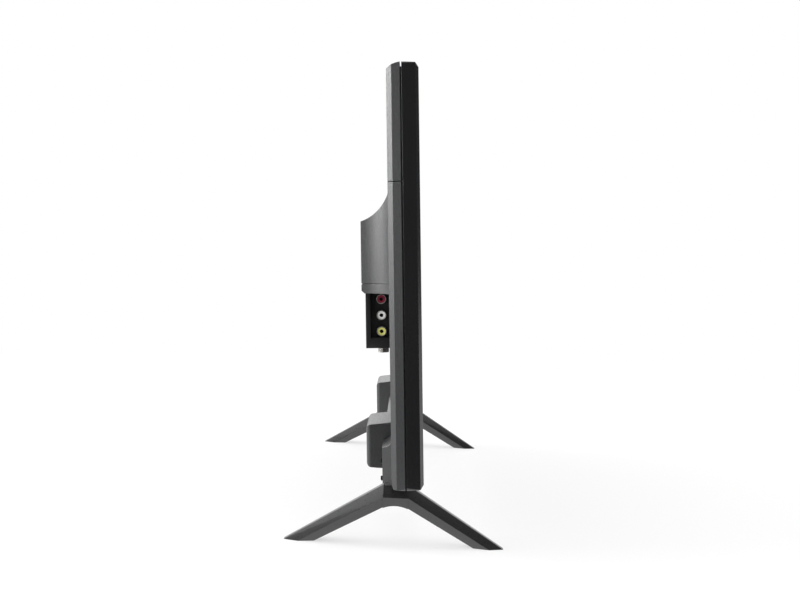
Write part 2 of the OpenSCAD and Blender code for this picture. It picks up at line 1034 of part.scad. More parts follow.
module speaker_cones() {
    y = frame_y;
    color(black)
        leaned()
            at_speakers()
                translate([0, y, 0])
                    rotate([90, 0, 0])
                        rotate_extrude()
                            polygon([
                                [0, 3.6], [5, 3.6], [11.6, 0.8], [12.8, 0.8],
                                [12.8, 1.6], [11.6, 1.6], [5, 5], [0, 5]
                            ]);
}

module speaker_magnets() {
    y = frame_y;
    color([0.35, 0.35, 0.36])
        leaned()
            at_speakers()
                rod_y(0, [y - 11, y - 6], 0, 10);
}

// Keys

// Rounded outline of a key, grown by a margin, between two depths
module key_outline(z, y, margin) {
    along_y(y)
        round_rect([key_x - key_size[0] / 2 - margin, key_x + key_size[0] / 2 + margin],
                   [z - key_size[1] / 2 - margin, z + key_size[1] / 2 + margin], 2);
}

module key_cap(i) {
    base = cover_in - key_gap;
    color(black)
        leaned() {
            key_outline(key_z[i], [base, body_d + key_proud], 0);
            key_outline(key_z[i], [base - flange_t, base], flange_w);
        }
}

module power_key() key_cap(0);

module source_key() key_cap(1);

module menu_key() key_cap(2);

module channel_down_key() key_cap(3);

module channel_up_key() key_cap(4);

module volume_down_key() key_cap(5);

module volume_up_key() key_cap(6);

// Feet

// Six-sided cross-section of a foot: flat top, ridge on both sides, narrower bottom
module foot_section(half_x, top, low) {
    polygon(both_sides([[-half_x[0], top], [-half_x[1], (top + low) / 2], [-half_x[2], low]]));
}

// One leg, running down to the floor
module leg(side) {
    run = leg_end - leg_start;
    top_fall = hub_top / (foot_span / 2 - leg_start);
    low_fall = hub_low / (heel_y - leg_start);
    hull() {
        along_y([side * leg_start - slice, side * leg_start + slice])
            foot_section(hub_half_x, hub_top, hub_low);
        along_y([side * leg_end - slice, side * leg_end + slice])
            foot_section(toe_half_x, hub_top - run * top_fall, hub_low - run * low_fall);
    }
}

// Middle of a foot, a little proud of its legs
module hub() {
    along_y([-hub_half, hub_half])
        foot_section(hub_half_x + hub_proud * [1, 1, 1], hub_top, hub_sole);
}

// Foot on the right side, with the post beside the plateau's end and the tongue that slips into it
module foot() {
    difference() {
        union() {
            translate([foot_x, 0, 0]) {
                for (side = [-1, 1])
                    leg(side);
                hub();
            }
            leaned() {
                block([plateau_w / 2 + post_gap, foot_x + 9], post_y, [post_low, post_top]);
                block([tongue_x - tongue_w / 2, foot_x], post_y, [post_low, plateau_low - post_gap]);
                block([tongue_x - tongue_w / 2, tongue_x + tongue_w / 2], tongue_y, [post_low, tongue_top]);
            }
        }
        block([0, panel_w], [-foot_span, foot_span], [-foot_span, 0]);
        translate([foot_x, 0, 0])
            rod_x([-20, 20], 0, hub_sole + arch_rise - arch_r, arch_r);
        leaned()
            for (z = foot_screw_z)
                rod_y(tongue_x, [tongue_y[0] - 1, tongue_y[1] + 1], z, screw_r);
    }
}

module right_foot() {
    color(black)
        foot();
}

module left_foot() {
    color(black)
        mirror([1, 0, 0])
            foot();
}

module foot_screws() {
    color([0.15, 0.15, 0.16])
        leaned()
            for (side = [-1, 1], z = foot_screw_z) {
                rod_y(side * tongue_x, [tongue_y[0] + 0.4, plateau_back], z, screw_r);
                rod_y(side * tongue_x, [plateau_back, plateau_back + foot_head_h], z, foot_head_r);
            }
}

front_bezel();
lcd_cell();
optical_sheets();
diffuser_plate();
mid_frame();
reflector_sheet();
led_strips();
led_lenses();
chassis_plate();
timing_board();
main_board();
heat_sink();
tuner_can();
power_board();
transformer();
capacitors();
board_standoffs();
key_board();
key_switches();
ir_board();
ir_window();
terminal_housing();
jack_block();
jack_sleeves();
red_jack();
white_jack();
yellow_jack();
antenna_socket();
hdmi_port();
usb_port();
power_inlet();
inlet_pins();
upper_rear_cover();
lower_rear_cover();
cover_screws();
vesa_inserts();
left_speaker_box();
right_speaker_box();
speaker_frames();
speaker_cones();
speaker_magnets();
power_key();
source_key();
menu_key();
channel_up_key();
channel_down_key();
volume_up_key();
volume_down_key();
left_foot();
right_foot();
foot_screws();
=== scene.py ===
"""Looks of a flat screen television on two splayed feet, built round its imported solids."""

import json
import math

import bmesh
import bpy
from bpy.props import FloatProperty, FloatVectorProperty, PointerProperty
from mathutils import Matrix, Quaternion, Vector


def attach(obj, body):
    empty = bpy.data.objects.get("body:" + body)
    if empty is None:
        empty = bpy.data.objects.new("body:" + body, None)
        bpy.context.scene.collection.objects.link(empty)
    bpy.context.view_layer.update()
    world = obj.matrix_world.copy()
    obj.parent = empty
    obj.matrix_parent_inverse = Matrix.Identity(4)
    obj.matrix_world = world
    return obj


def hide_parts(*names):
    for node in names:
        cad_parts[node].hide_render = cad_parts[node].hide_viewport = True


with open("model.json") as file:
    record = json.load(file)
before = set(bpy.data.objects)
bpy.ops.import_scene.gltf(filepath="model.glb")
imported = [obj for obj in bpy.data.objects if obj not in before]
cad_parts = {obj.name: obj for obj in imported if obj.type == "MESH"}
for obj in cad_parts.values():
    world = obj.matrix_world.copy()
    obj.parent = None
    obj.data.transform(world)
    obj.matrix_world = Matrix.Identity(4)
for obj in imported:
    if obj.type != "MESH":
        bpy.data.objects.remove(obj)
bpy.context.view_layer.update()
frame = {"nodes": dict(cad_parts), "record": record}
NODES = frame["nodes"]

bl_info = {
    "name": "Flat Screen Television",
    "version": (1, 0, 0),
    "blender": (4, 5, 0),
    "location": "View3D > Sidebar > Television",
    "description": "Dresses the solids of a television on two feet and sets up its studio",
    "category": "Object",
}

# Panel frame: y counts back from the front face, z up from the bottom edge, turned back by the lean
LEAN = math.radians(3.5)
PANEL_FORWARD = 0.0217
PANEL_LIFT = 0.0493
PANEL = Matrix.Translation((0, -PANEL_FORWARD, PANEL_LIFT)) @ Matrix.Rotation(-LEAN, 4, "X")

KEYS = (
    "power_key", "source_key", "menu_key",
    "channel_down_key", "channel_up_key", "volume_down_key", "volume_up_key",
)

# Mesh work
MERGE_DISTANCE = 2e-6
FLAT_ANGLE = math.radians(0.6)
SMOOTH_ANGLE = math.radians(32)
RIM_DEPTH = 1e-5

# Shader work, metres
CLOUD_SIZE = 0.03
COVER_CLOUD_SIZE = 0.04
SPARK_EDGE = 0.0006
# Reach of the shade painted into the jacks' holes
JACK_SHADE_REACH = 0.004

# Where a gloss finds the floor turn from dark to lit, along X, and the room, along its lit side
FLOOR_LIT = (-0.46, -0.31)
ROOM_LIT = (-0.1, 0.6)

# Lamps: name, place, aim, size and the setting that holds the power
LAMPS = (
    ("top_lamp", (0.3, 0.2, 1.9), (0, 0, 0.2), (1.6, 1.6), "top_power"),
    ("rear_lamp", (-0.15, 1.8, 0.62), (-0.1, 0, 0.3), (1.6, 0.72), "rear_power"),
    ("low_lamp", (-1.5, 1.3, 0.27), (-0.25, 0.04, 0.2), (0.8, 0.4), "low_power"),
    ("far_lamp", (2.0, 0.4, 1.0), (0, 0, 0.1), (1.2, 1.0), "far_power"),
    ("front_lamp", (0.2, -1.5, 1.7), (0, 0, 0.2), (1.2, 1.2), "front_power"),
)


def colour_property(name, description, default):
    return FloatVectorProperty(
        name=name, description=description, default=default, size=3, min=0, max=1, subtype="COLOR")


def length_property(name, description, default):
    return FloatProperty(
        name=name, description=description, default=default, min=0, subtype="DISTANCE", unit="LENGTH")


def power_property(name, description, default):
    return FloatProperty(name=name, description=description, default=default, min=0, unit="POWER")


class TelevisionFinishes(bpy.types.PropertyGroup):
    """Colours of the mouldings and fittings"""

    cover: colour_property(
        "Covers", "Spark textured grey of the rear covers and speaker boxes", (0.024, 0.025, 0.027))
    bezel: colour_property("Bezel", "Satin black of the front bezel", (0.0055, 0.0055, 0.0068))
    foot: colour_property("Feet", "Semi-gloss black of the feet", (0.014, 0.014, 0.015))
    housing: colour_property(
        "Terminal housing", "Fine textured black of the terminal housing", (0.016, 0.016, 0.017))
    key: colour_property("Keys", "Satin black of the push keys", (0.014, 0.014, 0.015))
    jack_red: colour_property("Red jack", "Insert of the upper phono jack", (0.26, 0.012, 0.04))
    jack_white: colour_property("White jack", "Insert of the middle phono jack", (0.92, 0.92, 0.90))
    jack_yellow: colour_property("Yellow jack", "Insert of the lower phono jack", (0.80, 0.78, 0.22))
    nickel: colour_property("Nickel", "Plating of the jacks and ports", (0.72, 0.70, 0.66))
    brass: colour_property("Brass", "Threaded inserts of the wall mount", (0.62, 0.44, 0.16))
    screw: colour_property("Screws", "Black oxide of the screws", (0.035, 0.035, 0.037))
    solder_mask: colour_property("Solder mask", "Green lacquer of the boards", (0.012, 0.11, 0.045))
    laminate: colour_property("Laminate", "Brown paper laminate of the power board", (0.30, 0.18, 0.06))
    zinc: colour_property("Zinc", "Plated sheet of the chassis", (0.56, 0.57, 0.59))


class TelevisionDetails(bpy.types.PropertyGroup):
    """Sizes of the grain, edges and small fittings"""

    spark_grain: length_property("Spark grain", "Size of the covers' spark texture", 0.0015)
    spark_depth: length_property("Spark depth", "Depth of the covers' spark texture", 0.00016)
    foot_edge: length_property("Foot edge", "Radius of the feet's edges", 0.0007)
    key_edge: length_property("Key edge", "Radius of the keys' edges", 0.0005)
    housing_edge: length_property("Housing edge", "Radius of the terminal housing's edges", 0.0009)
    screw_crown: length_property("Screw crown", "Height of a screw head's dome", 0.0006)
    thread_pitch: length_property("Thread pitch", "Pitch of the antenna socket's thread", 0.0009)
    thread_depth: length_property("Thread depth", "Depth of the antenna socket's thread", 0.0003)


class TelevisionStage(bpy.types.PropertyGroup):
    """Camera, floor and lamps"""

    camera_place: FloatVectorProperty(
        name="Camera place", description="Where the camera stands", default=(-1.27314, -0.00379, 0.2474),
        size=3, subtype="TRANSLATION", unit="LENGTH")
    camera_aim: FloatVectorProperty(
        name="Camera aim", description="Direction in which the camera looks",
        default=(0.99866, 0.0076, -0.051242), size=3, subtype="DIRECTION")
    camera_roll: FloatProperty(
        name="Camera roll", description="Turn about the line of sight", default=math.radians(-2.73),
        subtype="ANGLE", unit="ROTATION")
    camera_lens: FloatProperty(
        name="Lens", description="Focal length on a sensor 36 mm wide", default=58.63, min=1,
        subtype="DISTANCE_CAMERA", unit="CAMERA")
    floor_radius: length_property("Floor radius", "Radius of the round floor", 14.0)
    floor_fade: FloatVectorProperty(
        name="Floor fade", description="Distances between which the floor turns into the white surroundings",
        default=(0.75, 1.3), size=2, unit="LENGTH")
    room_level: FloatProperty(
        name="Room", description="Light that the surroundings give the set", default=1.0, min=0)
    dark_side: FloatProperty(
        name="Dark side", description="Brightness that a gloss finds behind the camera", default=0.1,
        min=0, max=1)
    lit_side: FloatVectorProperty(
        name="Lit side", description="Direction in which a gloss finds the room lit",
        default=(1.0, 0.75, 0.0), size=3, subtype="DIRECTION")
    top_power: power_property("Top lamp", "Power of the lamp above", 3.0)
    rear_power: power_property("Rear lamp", "Power of the lamp behind", 27.0)
    low_power: power_property("Low lamp", "Power of the low lamp behind", 2.4)
    far_power: power_property("Far lamp", "Power of the lamp beyond the set", 5.0)
    front_power: power_property("Front lamp", "Power of the lamp in front", 3.0)


# Shader building blocks


def new_finish(name):
    material = bpy.data.materials.new(name)
    material.use_nodes = True
    return material, material.node_tree, material.node_tree.nodes["Principled BSDF"]


def add_node(tree, kind, settings=(), **inputs):
    node = tree.nodes.new(kind)
    for key, value in dict(settings).items():
        setattr(node, key, value)
    for key, value in inputs.items():
        node.inputs[key.replace("_", " ")].default_value = value
    return node


def place_on(tree, stretch=(1, 1, 1)):
    """Object coordinates in metres, stretched along the axes"""
    coordinates = add_node(tree, "ShaderNodeTexCoord")
    mapping = add_node(tree, "ShaderNodeMapping", Scale=stretch)
    tree.links.new(coordinates.outputs["Object"], mapping.inputs["Vector"])
    return mapping.outputs["Vector"]


def grain(tree, size, detail=3.0, stretch=(1, 1, 1)):
    """Noise whose features are about size metres across"""
    noise = add_node(tree, "ShaderNodeTexNoise", Scale=1 / size, Detail=detail, Roughness=0.55)
    tree.links.new(place_on(tree, stretch), noise.inputs["Vector"])
    return noise.outputs["Fac"]


def tone(tree, factor, dark, light):
    """Colour between two tones, by a factor that is stretched to its full range"""
    spread = spread_over(tree, factor, 0, 1, 0.32, 0.68)
    mix = add_node(tree, "ShaderNodeMix", {"data_type": "RGBA"})
    mix.inputs[6].default_value = (*dark, 1)
    mix.inputs[7].default_value = (*light, 1)
    tree.links.new(spread, mix.inputs[0])
    return mix.outputs[2]


def spread_over(tree, factor, low, high, start=0.3, end=0.7):
    scale = add_node(tree, "ShaderNodeMapRange", From_Min=start, From_Max=end, To_Min=low, To_Max=high)
    tree.links.new(factor, scale.inputs["Value"])
    return scale.outputs["Result"]


def relief(tree, height, depth, strength=1.0, edge=0.0):
    """Bump of a given depth in metres, over edges softened to a radius"""
    bump = add_node(tree, "ShaderNodeBump", Strength=strength, Distance=depth)
    tree.links.new(height, bump.inputs["Height"])
    if edge:
        soft = add_node(tree, "ShaderNodeBevel", {"samples": 6}, Radius=edge)
        tree.links.new(soft.outputs["Normal"], bump.inputs["Normal"])
    return bump.outputs["Normal"]


def shade(colour, factor):
    return tuple(min(1.0, c * factor) for c in colour)


# Finishes


def moulded_plastic(name, colour, size, depth, rough, speckle=0.2, edge=0.0004, specular=0.5, shade_reach=0):
    """Moulded plastic with its tool's fine grain, faint cloudiness, softened edges and, where asked, shade
    painted into its hollows
    """
    material, tree, shader = new_finish(name)
    fine = grain(tree, size)
    cloud = grain(tree, CLOUD_SIZE, 2)
    tint = tone(tree, fine, shade(colour, 1 - speckle), shade(colour, 1 + speckle))
    veil = add_node(tree, "ShaderNodeMix", {"data_type": "RGBA", "blend_type": "MULTIPLY"})
    veil.inputs[0].default_value = 1
    tree.links.new(tint, veil.inputs[6])
    tree.links.new(tone(tree, cloud, (0.93, 0.93, 0.93), (1, 1, 1)), veil.inputs[7])
    colour_out = veil.outputs[2]
    # Painted shade: the colour darkens where ambient occlusion finds the surface closed in, as inside the
    # jacks' holes
    if shade_reach:
        shade_mask = add_node(
            tree, "ShaderNodeAmbientOcclusion", {"samples": 8, "only_local": True}, Distance=shade_reach)
        dark = add_node(tree, "ShaderNodeMix", {"data_type": "RGBA", "blend_type": "MULTIPLY"})
        dark.inputs[0].default_value = 1
        tree.links.new(colour_out, dark.inputs[6])
        tree.links.new(spread_over(tree, shade_mask.outputs["AO"], 0.02, 1, 0.55, 0.85), dark.inputs[7])
        colour_out = dark.outputs[2]
    tree.links.new(colour_out, shader.inputs["Base Color"])
    tree.links.new(spread_over(tree, fine, *rough), shader.inputs["Roughness"])
    tree.links.new(relief(tree, fine, depth, 1.0, edge), shader.inputs["Normal"])
    shader.inputs["Specular IOR Level"].default_value = specular
    return material


def spark_plastic(name, colour, size, depth):
    """Spark eroded plastic: coarse and fine pits that glint, with a satin gloss between them"""
    material, tree, shader = new_finish(name)
    coarse = grain(tree, size, 2)
    fine = grain(tree, size * 0.4, 2)
    cloud = grain(tree, COVER_CLOUD_SIZE, 2)
    pits = add_node(tree, "ShaderNodeMix", Factor=0.4)
    tree.links.new(coarse, pits.inputs["A"])
    tree.links.new(fine, pits.inputs["B"])
    height = pits.outputs["Result"]
    tint = tone(tree, height, shade(colour, 0.6), shade(colour, 1.4))
    veil = add_node(tree, "ShaderNodeMix", {"data_type": "RGBA", "blend_type": "MULTIPLY"})
    veil.inputs[0].default_value = 1
    tree.links.new(tint, veil.inputs[6])
    tree.links.new(tone(tree, cloud, (0.93, 0.93, 0.94), (1, 1, 1)), veil.inputs[7])
    tree.links.new(veil.outputs[2], shader.inputs["Base Color"])
    tree.links.new(spread_over(tree, height, 0.46, 0.3), shader.inputs["Roughness"])
    tree.links.new(relief(tree, height, depth, 1.0, SPARK_EDGE), shader.inputs["Normal"])
    shader.inputs["Specular IOR Level"].default_value = 1.0
    return material


def plated_metal(name, colour, rough, line=0.0002, stretch=(1, 1, 1), edge=0.0001):
    """Metal with fine drawing lines and faint stains"""
    material, tree, shader = new_finish(name)
    lines = grain(tree, line, 2, stretch)
    stain = grain(tree, 0.006, 3)
    tree.links.new(tone(tree, stain, shade(colour, 0.86), colour), shader.inputs["Base Color"])
    tree.links.new(spread_over(tree, lines, *rough), shader.inputs["Roughness"])
    tree.links.new(relief(tree, lines, 0.000008, 0.6, edge), shader.inputs["Normal"])
    shader.inputs["Metallic"].default_value = 1
    return material


def film_sheet(name, colour, size=0.0008):
    """Matt optical film with a fine diffusing grain"""
    material, tree, shader = new_finish(name)
    fine = grain(tree, size, 2)
    tree.links.new(tone(tree, fine, shade(colour, 0.95), colour), shader.inputs["Base Color"])
    tree.links.new(spread_over(tree, fine, 0.5, 0.65), shader.inputs["Roughness"])
    tree.links.new(relief(tree, fine, 0.00002), shader.inputs["Normal"])
    return material


def screen_glass(name):
    """Anti-glare polarizer: nearly black, with a fine matt haze"""
    material, tree, shader = new_finish(name)
    haze = grain(tree, 0.00018, 2)
    cloud = grain(tree, 0.12, 2)
    tint = tone(tree, cloud, (0.0065, 0.007, 0.0085), (0.0085, 0.009, 0.0105))
    tree.links.new(tint, shader.inputs["Base Color"])
    tree.links.new(spread_over(tree, haze, 0.2, 0.32), shader.inputs["Roughness"])
    tree.links.new(relief(tree, haze, 0.000006, 0.5), shader.inputs["Normal"])
    return material


def circuit_board(name, colour, copper, pitch=0.0022):
    """Lacquered board with raised tracks and bright pads"""
    material, tree, shader = new_finish(name)
    cells = add_node(
        tree, "ShaderNodeTexVoronoi", {"distance": "MANHATTAN", "feature": "F1"}, Scale=1 / (pitch * 2.4))
    tracks = add_node(
        tree, "ShaderNodeTexBrick", {"offset": 0.37, "squash": 0.6}, Scale=1 / (pitch * 5), Mortar_Size=0.09)
    where = place_on(tree)
    turn = add_node(tree, "ShaderNodeMapping", Rotation=(math.pi / 2, 0, 0))
    tree.links.new(where, turn.inputs["Vector"])
    tree.links.new(turn.outputs["Vector"], cells.inputs["Vector"])
    tree.links.new(turn.outputs["Vector"], tracks.inputs["Vector"])
    lacquer = tone(tree, tracks.outputs["Fac"], shade(colour, 0.75), shade(colour, 1.45))
    pads = spread_over(tree, cells.outputs["Distance"], 1, 0, 0.1, 0.16)
    mix = add_node(tree, "ShaderNodeMix", {"data_type": "RGBA"})
    mix.inputs[7].default_value = (*copper, 1)
    tree.links.new(pads, mix.inputs[0])
    tree.links.new(lacquer, mix.inputs[6])
    tree.links.new(mix.outputs[2], shader.inputs["Base Color"])
    tree.links.new(pads, shader.inputs["Metallic"])
    tree.links.new(spread_over(tree, grain(tree, 0.002), 0.25, 0.4), shader.inputs["Roughness"])
    tree.links.new(relief(tree, tracks.outputs["Fac"], 0.00004), shader.inputs["Normal"])
    return material


def clear_lens(name):
    """Clear moulded lens with a faint swirl"""
    material, tree, shader = new_finish(name)
    swirl = grain(tree, 0.004, 2)
    tree.links.new(tone(tree, swirl, (0.9, 0.94, 0.97), (0.97, 0.98, 1.0)), shader.inputs["Base Color"])
    tree.links.new(spread_over(tree, swirl, 0.05, 0.12), shader.inputs["Roughness"])
    shader.inputs["Transmission Weight"].default_value = 0.85
    shader.inputs["IOR"].default_value = 1.49
    return material


def dark_filter(name):
    """Dark red window that passes the remote control's light"""
    material, tree, shader = new_finish(name)
    swirl = grain(tree, 0.003, 2)
    tree.links.new(tone(tree, swirl, (0.02, 0.003, 0.005), (0.03, 0.005, 0.007)), shader.inputs["Base Color"])
    tree.links.new(spread_over(tree, swirl, 0.06, 0.14), shader.inputs["Roughness"])
    shader.inputs["Coat Weight"].default_value = 0.3
    return material


def wound_tape(name):
    """Yellow tape wound round the transformer, in overlapping turns"""
    material, tree, shader = new_finish(name)
    turns = add_node(tree, "ShaderNodeTexWave", {"bands_direction": "Z"}, Scale=55, Distortion=1.5, Detail=2)
    tree.links.new(place_on(tree), turns.inputs["Vector"])
    tint = tone(tree, turns.outputs["Fac"], (0.50, 0.38, 0.05), (0.66, 0.52, 0.10))
    tree.links.new(tint, shader.inputs["Base Color"])
    tree.links.new(spread_over(tree, turns.outputs["Fac"], 0.3, 0.5), shader.inputs["Roughness"])
    tree.links.new(relief(tree, turns.outputs["Fac"], 0.0001), shader.inputs["Normal"])
    return material


# Mesh building blocks


def link(name, mesh, finish, body="set"):
    """Puts a mesh into the scene as a piece of the set"""
    piece = bpy.data.objects.new(name, mesh)
    bpy.context.scene.collection.objects.link(piece)
    mesh.materials.clear()
    mesh.materials.append(finish)
    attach(piece, body)
    return piece


def coat(finish, *nodes):
    """Gives solids a finish"""
    for name in nodes:
        mesh = NODES[name].data
        mesh.materials.clear()
        mesh.materials.append(finish)


def soft_edged(node, name, radius, finish, body="set", segments=2, angle=24):
    """A copy of a solid with its sharp edges rounded, which stands for it"""
    mesh = NODES[node].data.copy()
    mesh.name = name
    work = bmesh.new()
    work.from_mesh(mesh)
    bmesh.ops.remove_doubles(work, verts=work.verts, dist=MERGE_DISTANCE)
    bmesh.ops.dissolve_limit(
        work, angle_limit=FLAT_ANGLE, use_dissolve_boundaries=False, verts=work.verts, edges=work.edges)
    sharp = [e for e in work.edges if e.is_manifold and e.calc_face_angle(0) > math.radians(angle)]
    bmesh.ops.bevel(
        work, geom=sharp, offset=radius, offset_type="OFFSET", segments=segments, profile=0.5, affect="EDGES",
        clamp_overlap=True, harden_normals=False)
    for face in work.faces:
        face.smooth = True
    work.to_mesh(mesh)
    work.free()
    piece = link(name, mesh, finish, body)
    mesh.set_sharp_from_angle(angle=SMOOTH_ANGLE)
    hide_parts(node)
    return piece


def lathe(work, rings, axis, steps=32, closed=False):
    """Adds a turned form to a mesh: rings are (along, radius) pairs about an axis matrix"""
    loops = []
    for along, radius in rings:
        loop = []
        for i in range(steps):
            turn = 2 * math.pi * i / steps
            point = Vector((radius * math.cos(turn), radius * math.sin(turn), along))
            loop.append(work.verts.new(axis @ point))
        loops.append(loop)
    for a, b in zip(loops, loops[1:] + loops[:1] if closed else loops[1:]):
        for i in range(steps):
            j = (i + 1) % steps
            work.faces.new((a[i], a[j], b[j], b[i]))
    return loops


def finished(work, name):
    """Turns working geometry into a smooth mesh with its faces outward"""
    bmesh.ops.recalc_face_normals(work, faces=work.faces)
    for face in work.faces:
        face.smooth = True
    mesh = bpy.data.meshes.new(name)
    work.to_mesh(mesh)
    work.free()
    mesh.set_sharp_from_angle(angle=SMOOTH_ANGLE)
    return mesh


def stretch_tops(node):
    """Middle and radius of the top of each separate stretch of a node's mesh, in the panel frame"""
    work = bmesh.new()
    work.from_mesh(NODES[node].data)
    work.transform(PANEL.inverted() @ NODES[node].matrix_world)
    left, tops = set(work.verts), []
    while left:
        found = [left.pop()]
        for vert in found:
            for edge in vert.link_edges:
                other = edge.other_vert(vert)
                if other in left:
                    left.remove(other)
                    found.append(other)
        top = max(v.co.y for v in found)
        rim = [v.co for v in found if top - v.co.y < RIM_DEPTH]
        x, z = [p.x for p in rim], [p.z for p in rim]
        middle = Vector((max(x) + min(x), 2 * top, max(z) + min(z))) / 2
        tops.append((middle, (max(x) - min(x)) / 2))
    work.free()
    return sorted(tops, key=lambda item: tuple(item[0]))


def cross_head(work, axis, radius, crown):
    """Adds a screw's dome with a cross recess, sunk a little into the head below it"""
    dome = ((-crown / 4, radius), (crown * 0.3, radius), (crown * 0.8, radius * 0.84), (crown, radius * 0.62))
    rings = lathe(work, dome, axis, 24)
    work.faces.new(rings[0])
    long, wide = radius * 0.5, radius * 0.12
    corner = ((wide, long), (wide, wide), (long, wide))
    quarters = ((1, 0), (0, -1), (-1, 0), (0, 1))
    outline = [(x * c - y * s, x * s + y * c) for c, s in quarters for x, y in corner]
    rim = [work.verts.new(axis @ Vector((x, y, crown))) for x, y in outline]
    deep = [work.verts.new(axis @ Vector((x * 0.9, y * 0.9, crown * 0.1))) for x, y in outline]
    for i in range(len(rim)):
        j = (i + 1) % len(rim)
        work.faces.new((rim[i], rim[j], deep[j], deep[i]))
    work.faces.new(deep)
    edges = [work.edges.get((loop[i - 1], loop[i])) for loop in (rings[-1], rim) for i in range(len(loop))]
    bmesh.ops.triangle_fill(work, edges=edges, use_beauty=True)


# Operators


class TELEVISION_OT_covers(bpy.types.Operator):
    """Dress the two rear covers and the speaker boxes in spark textured plastic"""

    bl_idname = "television.covers"
    bl_label = "Rear Covers and Speaker Boxes"

    def execute(self, context):
        finishes, details = context.scene.television_finishes, context.scene.television_details
        spark = spark_plastic("spark_grey", finishes.cover, details.spark_grain, details.spark_depth)
        coat(spark, "upper_rear_cover", "lower_rear_cover", "left_speaker_box", "right_speaker_box")
        return {"FINISHED"}


class TELEVISION_OT_bezel(bpy.types.Operator):
    """Dress the front bezel and the remote control window"""

    bl_idname = "television.bezel"
    bl_label = "Front Bezel"

    def execute(self, context):
        finishes = context.scene.television_finishes
        satin = moulded_plastic(
            "satin_black", finishes.bezel, 0.0006, 0.00001, (0.18, 0.26), 0.2, 0.0006, 1.0)
        coat(satin, "front_bezel")
        coat(dark_filter("dark_red_filter"), "ir_window")
        return {"FINISHED"}


class TELEVISION_OT_screen(bpy.types.Operator):
    """Dress the screen's glass cell, its films, lamps and steel chassis"""

    bl_idname = "television.screen"
    bl_label = "Screen"

    def execute(self, context):
        finishes = context.scene.television_finishes
        coat(screen_glass("anti_glare_glass"), "lcd_cell")
        coat(film_sheet("diffusing_film", (0.84, 0.85, 0.86)), "optical_sheets", "diffuser_plate")
        coat(film_sheet("reflecting_film", (0.88, 0.88, 0.87), 0.0015), "reflector_sheet")
        coat(moulded_plastic("plain_black", (0.018, 0.018, 0.019), 0.001, 0.00002, (0.5, 0.65)), "mid_frame")
        coat(circuit_board("white_lamp_board", (0.62, 0.63, 0.61), (0.8, 0.75, 0.55)), "led_strips")
        coat(clear_lens("clear_lens"), "led_lenses")
        sheet = plated_metal("zinc_sheet", finishes.zinc, (0.3, 0.45), 0.0003, (1, 1, 0.03))
        coat(sheet, "chassis_plate", "board_standoffs")
        return {"FINISHED"}


class TELEVISION_OT_electronics(bpy.types.Operator):
    """Dress the boards and the components on them"""

    bl_idname = "television.electronics"
    bl_label = "Electronics"

    def execute(self, context):
        finishes = context.scene.television_finishes
        coat(circuit_board("green_board", finishes.solder_mask, (0.75, 0.72, 0.66)),
             "timing_board", "main_board", "key_board", "ir_board")
        coat(circuit_board("brown_board", finishes.laminate, (0.72, 0.70, 0.68), 0.0035), "power_board")
        anodised = plated_metal("black_anodised", (0.06, 0.06, 0.062), (0.4, 0.55), 0.0003, (1, 0.03, 1))
        coat(anodised, "heat_sink")
        coat(plated_metal("tinned_can", (0.68, 0.68, 0.66), (0.22, 0.35)), "tuner_can")
        coat(wound_tape("yellow_tape"), "transformer")
        coat(moulded_plastic("dark_sleeve", (0.02, 0.028, 0.07), 0.002, 0.00002, (0.25, 0.35)), "capacitors")
        switch = moulded_plastic("switch_black", (0.02, 0.02, 0.021), 0.0008, 0.00002, (0.45, 0.6))
        coat(switch, "key_switches")
        return {"FINISHED"}


class TELEVISION_OT_terminals(bpy.types.Operator):
    """Dress the terminal housing, the phono jacks, the ports and the mains inlet"""

    bl_idname = "television.terminals"
    bl_label = "Terminals"

    def execute(self, context):
        finishes, details = context.scene.television_finishes, context.scene.television_details
        black = moulded_plastic("housing_black", finishes.housing, 0.0006, 0.00003, (0.4, 0.55), 0.25, 0.0004)
        soft_edged("terminal_housing", "housing_shell", details.housing_edge, black)
        soft_edged("power_inlet", "inlet_shell", details.housing_edge * 0.7, black)
        coat(black, "jack_block")
        inserts = (
            ("red", finishes.jack_red, 0.12),
            ("white", finishes.jack_white, 0.06),
            ("yellow", finishes.jack_yellow, 0.08),
        )
        for name, colour, speckle in inserts:
            # Each insert gets shade painted into its hole
            insert = moulded_plastic(
                name + "_insert", colour, 0.0012, 0.00001, (0.22, 0.3), speckle, 0.0003, shade_reach=JACK_SHADE_REACH)
            coat(insert, name + "_jack")
        coat(plated_metal("satin_nickel", finishes.nickel, (0.38, 0.55)), "jack_sleeves")
        bright = plated_metal("bright_nickel", finishes.nickel, (0.14, 0.24))
        coat(bright, "antenna_socket", "hdmi_port", "usb_port", "inlet_pins")
        self.thread(details, bright)
        return {"FINISHED"}


    def thread(self, details, finish):
        """Winds ridges round the antenna socket, where its mount says that it is"""
        mount = next(m for m in frame["record"]["mounts"] if m["name"] == "antenna")
        radius, length = mount["dims"]["r_mm"] / 1000, mount["dims"]["length_mm"] / 1000
        turns = int(length / details.thread_pitch) - 1
        start = -turns * details.thread_pitch / 2
        rings = [(start, radius - details.thread_depth)]
        for ridge in range(turns):
            along = start + ridge * details.thread_pitch
            rings += [(along, radius), (along + details.thread_pitch / 2, radius + details.thread_depth)]
        end = start + turns * details.thread_pitch
        rings += [(end, radius), (end, radius - details.thread_depth)]
        turn = Vector(mount["axis"]).to_track_quat("Z", "Y")
        axis = Matrix.Translation(mount["pos_m"]) @ turn.to_matrix().to_4x4()
        work = bmesh.new()
        lathe(work, rings, axis, 40, True)
        link("antenna_thread", finished(work, "antenna_thread"), finish)


